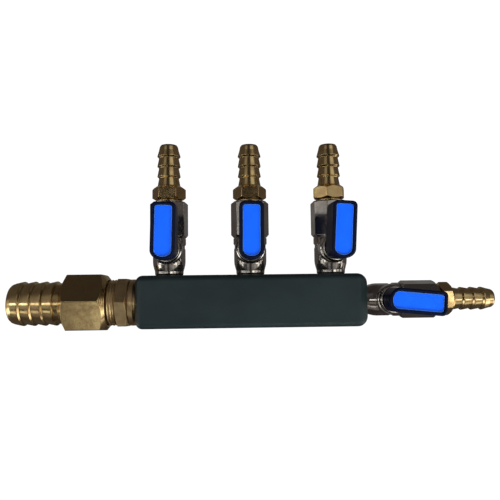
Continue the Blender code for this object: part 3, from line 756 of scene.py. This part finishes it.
def make_nipple():
    nut = Nut(
        sides=6, across_flats=22.8, first_deg=-87.5, low=3.9, high=9.5,
        end_low=(11.1, 0.9), end_high=(11.1, 0.9), corner_round=0.5,
    )

    def outline(angle):
        run = [(7.3, -6.8, 0.2), (9.9, -6.8, 0.2)]
        run += thread_run(-6.4, -0.4, 10.7, 9.9, 1.5, angle, per_turn=7)
        run += [
            (10.3, 0.3, 0.1), (10.6, 0.8, 0.1), (11.3, 1.3, 0.25), (11.3, 2.2, 0),
            (11.3, 3.2, 0.25), (10.7, 3.75, 0.15),
        ]
        run += nut.run(angle)
        # the tapered thread: its last turns are full beside the hex, the rest is inside the tail
        run += [(10.75, 9.75, 0.1)]
        run += thread_run(9.9, 13.5, 11.2, 10.72, 1.45, angle, fade=0.4)
        run += thread_run(14.7, 23.6, 10.6, 9.9, 1.45, angle, fade=0.5)
        run += [(9.8, 24.9, 0.1), (7.4, 25.0, 0.2), (7.0, 24.6, 0.1), (7.0, -6.4, 0.1)]
        return soften(run, 0.1)

    return smooth(turned("inlet_hex_nipple_fine", outline, nut.angles(16)), 36)


def make_inlet_tail():
    nut = Nut(
        sides=6, across_flats=26.65, first_deg=-85, low=14.1, high=35.7,
        end_low=(11.9, 2.9), end_high=(10.9, 2.9), corner_round=0.55,
    )
    grooves = 4  # turned in the chamfer beside the nipple
    groove_depth = 0.10

    def outline(angle):
        low, edge_low, edge_high, high = nut.run(angle)
        run = [low]
        for i in range(1, 4 * grooves):
            t = i / (4 * grooves)
            r = low[0] + (edge_low[0] - low[0]) * t
            z = low[1] + (edge_low[1] - low[1]) * t
            run.append((r, z + groove_depth * (1 - math.cos(2 * math.pi * t * grooves)) / 2, 0))
        run += [edge_low, edge_high, high, (10.4, 35.8, 0.1), (9.95, 36.4, 0.4)]
        run += barb_run(
            first_crest=39.3, pitch=5.3, count=4, root=9.85, crest=10.80, back=0.8,
            crest_round=0.16, root_round=0.25,
        )
        run += [
            (10.05, 58.7, 0.9), (9.5, 60.2, 0.7), (8.8, 61.0, 0.4), (8.4, 61.0, 0.15),
            (8.0, 60.5, 0.2), (8.0, 29.5, 0.1), (10.95, 28.5, 0.05), (10.95, 14.9, 0.1),
            (11.3, 14.15, 0.04),
        ]
        return soften(run, 0.1, 4)

    return smooth(turned("inlet_hose_tail_fine", outline, nut.angles(18)), 36)


def make_seat(name, side):
    """A ring beside the ball: side is -1 towards the bar and 1 towards the hose."""
    inner, outer, near, far = 3.3, 5.25, 2.5, 5.4  # radii, and heights from the ball's centre
    outline = [
        (inner, far),
        (outer, far),
        (outer, near),
        (math.sqrt(SEAT_SPHERE**2 - near**2) + 0.05, near),
        (inner, math.sqrt(SEAT_SPHERE**2 - inner**2) + 0.05),
    ]
    run = soften([(r, STEM_AXIS + side * height) for r, height in outline])
    return smooth(turned(name, run, circle_angles(72)), 36)


# ========================================== turning pieces ==========================================
# Turned about the stem, their outlines are (radius, depth), with the depth from the flow axis.
def make_ball():
    steps = 40
    half_circle = [
        (BALL_RADIUS * math.sin(math.pi * i / steps), -BALL_RADIUS * math.cos(math.pi * i / steps))
        for i in range(steps + 1)
    ]
    ball = turned("valve_ball", half_circle, circle_angles(72), about_stem=True)
    bore = [(0, -6), (3.6, -6), (3.0, -3.72), (3.0, 3.72), (3.6, 6), (0, 6)]
    cut(ball, turned("ball_bore", bore, circle_angles(72)))
    cut(ball, extruded("slot", rectangle(-4, -1.25, 4, 1.25), 3.5, 6.0))
    return smooth(shift(ball, z=STEM_AXIS), 30)


def make_stem():
    outline = [
        (0, 5.42), (3.0, 5.42), (3.0, 6.03), (2.3, 6.03), (2.3, 8.8), (1.55, 8.8), (1.55, 10.2),
        (2.3, 10.2), (2.3, 13.1), (0, 13.1),
    ]
    stem = turned("valve_stem", soften(outline, 0.08), circle_angles(48), about_stem=True)
    join(stem, extruded("tang", rectangle(-2.4, -0.95, 2.4, 0.95), 3.8, 5.8))
    join(stem, extruded("square", rectangle(-1.6, -1.6, 1.6, 1.6), 12.0, 15.7))
    hole = [(0, 11.2), (1.15, 11.2), (1.15, 17), (0, 17)]
    cut(stem, turned("hole", hole, circle_angles(24), about_stem=True))
    return smooth(shift(stem, z=STEM_AXIS), 30)


def make_o_ring():
    steps, ring_radius, cord_radius, depth = 16, 1.95, 0.34, 9.5
    angles = circle_angles(steps)
    run = [
        (ring_radius + cord_radius * math.cos(t), depth + cord_radius * math.sin(t)) for t in angles
    ]
    ring = turned("stem_o_ring", run, circle_angles(48), about_stem=True)
    return smooth(shift(ring, z=STEM_AXIS), 60)


def make_washer():
    run = soften([(2.42, 6.12), (3.1, 6.12), (3.1, 6.62), (2.42, 6.62)], 0.08)
    washer = turned("stem_washer", run, circle_angles(48), about_stem=True)
    return smooth(shift(washer, z=STEM_AXIS), 36)


# Lever outlines: (half width, depth of the oval end, reach over the stem axis, corner radius)
LEVER_OUTER = (5.65, 4.5, 20.5, 2.3)
LEVER_INNER = (4.25, 3.2, 19.3, 1.4)
LEVER_POCKET = (3.3, 2.5, 18.0, 1.0)
INSERT_FULL = (4.1, 3.05, 19.15, 1.3)
OVAL_DROP = 1.45  # from the stem axis to the oval's centre


def slot(half_width, end_depth, reach, corner):
    """Lever outline in (x, z): an oval end just past the stem axis, a square end with small corners."""
    steps, corner_steps = 28, 7
    points = []
    for i in range(steps + 1):
        angle = math.pi + math.pi * i / steps
        z = STEM_AXIS - OVAL_DROP + end_depth * math.sin(angle)
        points.append((half_width * math.cos(angle), z))
    top = STEM_AXIS + reach
    for centre, start in ((half_width - corner, 0.0), (corner - half_width, math.pi / 2)):
        for i in range(corner_steps + 1):
            angle = start + math.pi / 2 * i / corner_steps
            z = top - corner + corner * math.sin(angle)
            points.append((centre + corner * math.cos(angle), z))
    return points


def lerp(first, second, t):
    return tuple(p + (q - p) * t for p, q in zip(first, second))


def shrunk(shape, amounts):
    return tuple(value - amount for value, amount in zip(shape, amounts))


def make_lever():
    outer, inner = LEVER_OUTER, LEVER_INNER
    tight = shrunk(outer, (0.45, 0.45, 0.45, 0.2))
    rings = [(13.2, lerp(outer, tight, 1.0)), (13.3, lerp(outer, tight, 0.45))]
    rings += [(depth, outer) for depth in (13.55, 16.0, 19.0, 22.0)]
    # rounded outer edge of the rim, its flat, then the rounded edge into the recess
    for i in range(7):
        t = math.pi / 2 * i / 6
        rings.append((25.15 + 0.85 * math.sin(t), lerp(outer, inner, 0.62 * (1 - math.cos(t)))))
    for i in range(5):
        t = math.pi / 2 * i / 4
        shape = lerp(outer, inner, 0.84 + 0.16 * math.sin(t))
        rings.append((26.0 - 0.22 * (1 - math.cos(t)), shape))
    rings += [(24.4, inner), (23.2, inner)]
    lever = layered("lever_handle", [(depth, slot(*shape)) for depth, shape in rings])
    cut(lever, extruded("pocket", slot(*LEVER_POCKET), 15.9, 25.0))
    half = 1.75
    hole = rectangle(-half, STEM_AXIS - half, half, STEM_AXIS + half)
    cut(lever, extruded("square_hole", hole, 12.0, 17.0))
    # the notch lets the lever turn 45 degrees to either side of the stop lug, with some play
    notch = sector(3.6, 8.0, 270, 45 + LUG_REACH + 2.5, 24)
    cut(lever, extruded("notch", notch, 12.0, 14.55))
    return smooth(lever, 34)


def make_insert():
    full = INSERT_FULL
    small = shrunk(full, (0.62, 0.62, 0.62, 0.3))
    rings = [(23.4, lerp(full, small, 0.3)), (23.6, full), (24.25, full)]
    for i in range(7):
        t = math.pi / 2 * i / 6
        rings.append((24.3 + 0.5 * math.sin(t), lerp(full, small, 1 - math.cos(t))))
    for inward in (1.15, 1.6, 3.0):
        rings.append((24.8, lerp(full, small, inward)))
    insert = layered("lever_insert", [(depth, slot(*shape)) for depth, shape in rings])
    for z in (6.0, 15.0):
        for side in (-1, 1):
            clip = rectangle(side * 2.1, STEM_AXIS + z - 1.6, side * 2.9, STEM_AXIS + z + 1.6)
            join(insert, extruded("clip", clip, 20.5, 24.1))
    return smooth(insert, 34)


def make_screw():
    outline = [
        (0, 11.6), (0.95, 11.6), (0.95, 16.1), (2.6, 16.1), (2.6, 17.0), (2.1, 17.65), (0, 17.7),
    ]
    screw = turned("lever_screw", soften(outline, 0.1), circle_angles(40), about_stem=True)
    for half_x, half_z in ((1.5, 0.35), (0.35, 1.5)):
        cut(screw, extruded("cross", rectangle(-half_x, -half_z, half_x, half_z), 16.8, 19))
    return smooth(shift(screw, z=STEM_AXIS), 30)


# ============================================= placing ==============================================
SLOT_OF = {row["node"]: row["material_slot"] for row in frame["record"]["subparts"]}
BODIES = frame["record"]["behaviour"]["bodies"]
BODY_OF = {node: body for body, members in BODIES.items() for node in members}
OTHER_FINISH = {"inlet_hex_nipple": "cast_brass"}  # brass too, but duller than the turned tails


def settle(obj, node, matrix=None):
    """Names, paints and places a fine piece, and lets it stand for its CAD node."""
    obj.name = f"{node}_fine"
    if matrix is not None:
        obj.matrix_world = matrix
    obj.data.materials.clear()
    obj.data.materials.append(LOOKS[OTHER_FINISH.get(node, SLOT_OF[node])])
    for face in obj.data.polygons:
        face.material_index = 0
    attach(obj, BODY_OF[node])
    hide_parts(node)


def copy_of(template, node, matrix):
    obj = bpy.data.objects.new(f"{node}_fine", template.data)
    bpy.context.scene.collection.objects.link(obj)
    for source in template.modifiers:
        made = obj.modifiers.new(source.name, source.type)
        made.mode, made.keep_sharp = source.mode, source.keep_sharp
    settle(obj, node, matrix)


def along_flow(height):
    return Matrix.Translation((0, 0, height * MM))


settle(make_bar(), "manifold_block")

bar_low, bar_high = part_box("manifold_block")
inlet = Matrix.Translation((bar_low.x, 0, END_PIVOT.z)) @ Matrix.Rotation(-math.pi / 2, 4, "Y")
settle(make_nipple(), "inlet_hex_nipple", inlet)
settle(make_inlet_tail(), "inlet_hose_tail", inlet)

FIXED = {
    "body": make_body(),
    "end_cap": make_end_cap(),
    "seat_inner": make_seat("seat_inner", -1),
    "seat_outer": make_seat("seat_outer", 1),
    "hose_tail": make_tail(),
}
TURNING = {
    "ball": make_ball(),
    "stem": make_stem(),
    "stem_o_ring": make_o_ring(),
    "stem_washer": make_washer(),
    "lever": make_lever(),
    "lever_insert": make_insert(),
    "lever_screw": make_screw(),
}
# How each valve's threads left its pieces, by valve: (turn in degrees, standing out in mm)
THREADED = {
    "end_cap": {1: (12, 0), 2: (0, 0), 3: (-19, 0), 4: (-7, 0)},
    "hose_tail": {1: (0, 0.15), 2: (0, 0), 3: (10, 0), 4: (2.5, 0.3)},
}

for joint in frame["joints"]:
    number = int(joint["name"].split("_")[1])
    pivot = Vector(joint["pos_m"])
    stem_way = Vector(joint["axis"]).normalized()
    low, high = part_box(f"valve_{number}_hose_tail")
    flow = (low + high) / 2 - pivot
    flow = (flow - stem_way * flow.dot(stem_way)).normalized()
    turn = Matrix((stem_way.cross(flow), stem_way, flow)).transposed().to_4x4()
    valve = Matrix.Translation(pivot - flow * STEM_AXIS * MM) @ turn
    lean = Matrix.Rotation(math.radians(-joint["range_deg"][0]), 4, "Y")
    stem = valve @ along_flow(STEM_AXIS) @ lean @ along_flow(-STEM_AXIS)
    for part, template in FIXED.items():
        degrees, lift = THREADED[part][number] if part in THREADED else (0, 0)
        screwed = along_flow(lift) @ Matrix.Rotation(math.radians(degrees), 4, "Z")
        copy_of(template, f"valve_{number}_{part}", valve @ screwed)
    for part, template in TURNING.items():
        copy_of(template, f"valve_{number}_{part}", stem)
for template in list(FIXED.values()) + list(TURNING.values()):
    bpy.data.objects.remove(template, do_unlink=True)


# ========================================== stage and light =========================================
NEUTRAL = (1.0, 0.98, 0.95)
WARM = (1.0, 0.86, 0.84)
# azimuth from the front, its half width and softness, elevation, its half height and softness
# (all in degrees), power, tint
LOBES = [
    (0, 181, 0.5, 0, 91, 0.5, 0.040, WARM),  # the room
    (-49, 12, 6, 0, 2.6, 1.6, 3.2, NEUTRAL),  # low lamps left and right
    (51, 12, 6, -11, 5, 3, 2.6, NEUTRAL),
    (-19, 13, 4, -1, 3, 2, 2.1, NEUTRAL),  # and the strips between them
    (23, 9, 4, -3, 3, 2, 3.0, NEUTRAL),
    (-52, 18, 8, -12, 9, 3, 0.26, NEUTRAL),
    (-54, 14, 6, -34, 3.5, 2.5, 0.95, NEUTRAL),  # front edge of the pale table
    (-56, 22, 8, -50, 10, 6, 0.12, NEUTRAL),
    (55, 20, 9, -32, 14, 7, 0.30, NEUTRAL),
    (-19, 9, 4, -24, 7, 4, 0.22, NEUTRAL),
    (25, 16, 7, -24, 7, 4, 0.28, NEUTRAL),
    (-15, 11, 4, -52, 5, 3, 0.82, NEUTRAL),
    (25, 16, 7, -48, 6, 4, 0.60, NEUTRAL),
    (0, 40, 12, -68, 9, 6, 0.16, NEUTRAL),
    (35, 20, 8, 29, 14, 7, 0.56, NEUTRAL),  # soft window, upper right
    (35, 20, 8, 6, 8, 5, 0.36, NEUTRAL),
    (-38, 14, 8, 22, 22, 8, 0.25, NEUTRAL),
    (88, 26, 9, -27, 12, 6, 2.6, NEUTRAL),  # table ends
    (-88, 26, 9, -24, 10, 5, 2.6, NEUTRAL),
    (79, 6, 5, 2, 13, 6, 1.0, NEUTRAL),  # narrow slits of the room's sides
    (-75, 8, 7, 2, 13, 6, 1.0, NEUTRAL),
    (100, 50, 15, 0, 60, 20, 0.050, WARM),
    (-100, 50, 15, 0, 60, 20, 0.050, WARM),
    (168, 16, 6, 20, 30, 12, 0.12, NEUTRAL),  # the wall behind
    (-168, 16, 6, 20, 30, 12, 0.12, NEUTRAL),
]


def make_world():
    """A soft studio seen in the metal: dim room, low lamps, a pale table, white to the camera."""
    world = bpy.data.worlds.new("studio")
    bpy.context.scene.world = world
    world.use_nodes = True
    world.node_tree.nodes.clear()
    sky = Nodes(world.node_tree)

    def band(value, centre, half, soft):
        gap = sky.math("ABSOLUTE", sky.math("SUBTRACT", value, centre))
        return sky.ramp(gap, span=(half - soft, half + soft), to=(1.0, 0.0))

    coords = sky.add("ShaderNodeTexCoord")
    split = sky.add("ShaderNodeSeparateXYZ")
    sky.put(split.inputs[0], coords.outputs["Generated"])
    x, y, z = split.outputs
    degrees = 180 / math.pi
    front = sky.math("MULTIPLY", y, -1.0)
    azimuth = sky.math("MULTIPLY", sky.math("ARCTAN2", x, front), degrees)
    elevation = sky.math("MULTIPLY", sky.math("ARCSINE", z), degrees)

    total = None
    for az, az_half, az_soft, el, el_half, el_soft, power, colour in LOBES:
        sideways = band(azimuth, az, az_half, az_soft)
        amount = sky.math("MULTIPLY", sideways, band(elevation, el, el_half, el_soft))
        glow = sky.mix(amount, (0, 0, 0), tuple(channel * power for channel in colour))
        total = glow if total is None else sky.mix(1.0, total, glow, blend="ADD")
    room = sky.add("ShaderNodeBackground")
    sky.put(room.inputs["Color"], total)
    white = sky.add("ShaderNodeBackground")
    sky.put(white.inputs["Color"], (1, 1, 1))
    sky.put(white.inputs["Strength"], 1.05)
    path = sky.add("ShaderNodeLightPath")
    choose = sky.add("ShaderNodeMixShader")
    sky.put(choose.inputs[0], path.outputs["Is Camera Ray"])
    sky.put(choose.inputs[1], room.outputs[0])
    sky.put(choose.inputs[2], white.outputs[0])
    out = sky.add("ShaderNodeOutputWorld")
    sky.put(out.inputs["Surface"], choose.outputs[0])


make_world()

# name, place, target, width, height (metres), power (watts)
PANELS = [
    ("front_panel", (-0.15, -0.9, 0.08), (0, 0, 0.03), 0.9, 0.5, 3.2),
    ("right_panel", (0.8, -0.5, 0.10), (0, 0, 0.03), 0.6, 0.5, 1.2),
    ("low_panel", (0.25, -0.45, -0.55), (0, 0, 0.02), 0.6, 0.3, 6.5),
    ("back_panel", (0.2, 0.9, 0.45), (0, 0, 0.03), 0.9, 0.5, 4.5),
    ("top_panel", (0.1, 0.25, 0.9), (0, 0, 0.03), 0.7, 0.5, 1.6),
]


def make_panel(name, place, target, width, height, power):
    """A soft panel that lights the paints and plastics but isn't mirrored in the metals."""
    data = bpy.data.lights.new(name, "AREA")
    data.shape = "RECTANGLE"
    data.size, data.size_y = width, height
    data.energy = power
    obj = bpy.data.objects.new(name, data)
    bpy.context.scene.collection.objects.link(obj)
    obj.location = place
    obj.rotation_mode = "QUATERNION"
    obj.rotation_quaternion = (Vector(target) - Vector(place)).to_track_quat("-Z", "Y")
    obj.visible_glossy = False
    obj.visible_camera = False


for panel in PANELS:
    make_panel(*panel)


def make_floor():
    """A white table top that only the camera sees, so that it doesn't disturb the mirrored room."""
    bm = bmesh.new()
    bmesh.ops.create_grid(bm, x_segments=8, y_segments=8, size=6.0)
    bmesh.ops.translate(bm, vec=(0, 0, cad_low.z - 0.0006), verts=bm.verts)
    floor = new_object("floor", bm)
    material = bpy.data.materials.new("white_table")
    material.use_nodes = True
    table = Nodes(material.node_tree)
    shader = table.tree.nodes["Principled BSDF"]
    table.put(shader.inputs["Base Color"], (0.9, 0.9, 0.9))
    table.put(shader.inputs["Roughness"], 0.9)
    table.put(shader.inputs["Emission Color"], (1, 1, 1))
    table.put(shader.inputs["Emission Strength"], 0.93)
    clear = table.add("ShaderNodeBsdfTransparent")
    geometry = table.add("ShaderNodeNewGeometry")
    choose = table.add("ShaderNodeMixShader")
    table.put(choose.inputs[0], geometry.outputs["Backfacing"])
    table.put(choose.inputs[1], shader.outputs[0])
    table.put(choose.inputs[2], clear.outputs[0])
    table.put(table.tree.nodes["Material Output"].inputs["Surface"], choose.outputs[0])
    floor.data.materials.append(material)
    floor.visible_glossy = False
    floor.visible_diffuse = False
    floor.visible_shadow = False
    floor.visible_transmission = False
    floor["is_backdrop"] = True


make_floor()


def make_camera():
    data = bpy.data.cameras.new("camera")
    data.lens = 38.881
    data.sensor_width = 36.0
    data.clip_start = 0.01
    data.clip_end = 20.0
    camera = bpy.data.objects.new("camera", data)
    bpy.context.scene.collection.objects.link(camera)
    place = (-0.00724435, -0.26769382, 0.02294033)
    right = (0.99959029, -0.02612473, -0.01169447)
    up = (0.01024746, -0.05485185, 0.99844192)
    back = (-0.02672549, -0.99815268, -0.05456167)
    turn = Matrix((right, up, back)).transposed().to_4x4()
    camera.matrix_world = Matrix.Translation(place) @ turn
    bpy.context.scene.camera = camera


make_camera()
bpy.context.scene.view_settings.view_transform = "Standard"
bpy.context.scene.view_settings.look = "None"

bpy.context.view_layer.update()
low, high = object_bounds()
